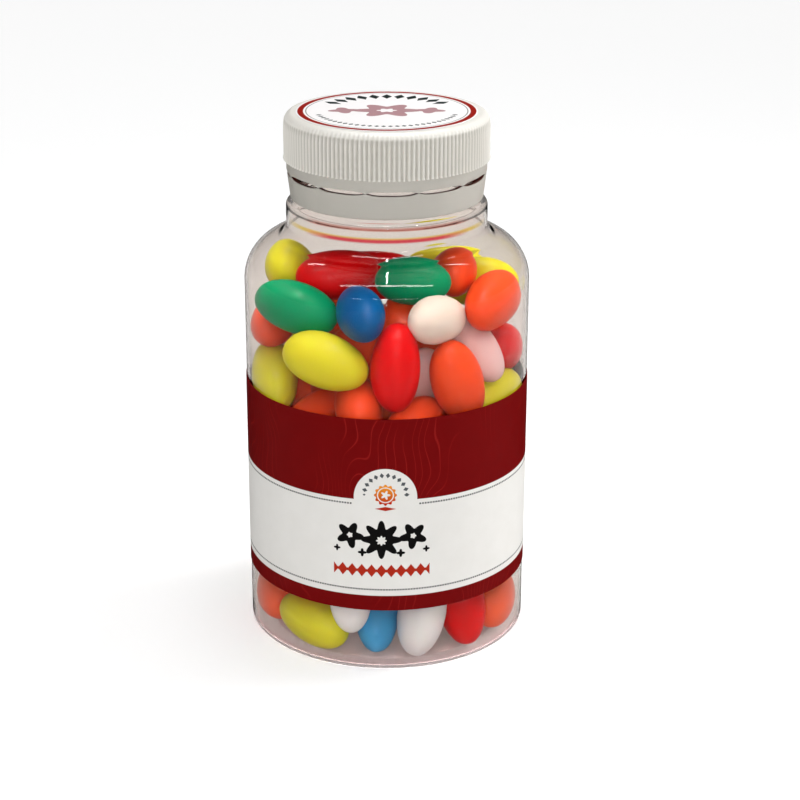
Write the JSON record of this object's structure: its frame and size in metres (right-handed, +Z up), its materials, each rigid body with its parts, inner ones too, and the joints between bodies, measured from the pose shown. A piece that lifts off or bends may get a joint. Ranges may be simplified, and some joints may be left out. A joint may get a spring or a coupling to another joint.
{
  "type": "candy_jar",
  "caption": "Clear round plastic jar with a ribbed white screw cap and a wrap label, filled with assorted jelly beans",
  "frame": {"origin": "Middle of the jar's base, on the plane it stands on", "axes": "+Z up along the jar's axis, the middle of the label's front towards -Y, +X to the right of the label as read"},
  "size_m": [0.0658, 0.0658, 0.1225],
  "materials": {
    "clear_plastic": "clear glossy moulded plastic",
    "white_plastic": "white satin moulded plastic",
    "sticker_paper": "white coated sticker with a red rim",
    "wrap_paper": "dark red coated paper with a white band",
    "candy_shell": "polished sugar shell in red, orange, yellow, green, blue, white and pink"
  },
  "bodies": {
    "root": {"jar": "clear_plastic", "screw_cap": "white_plastic", "cap_sticker": "sticker_paper", "jar_label": "wrap_paper", "jelly_beans": "candy_shell"}
  },
  "joints": []
}
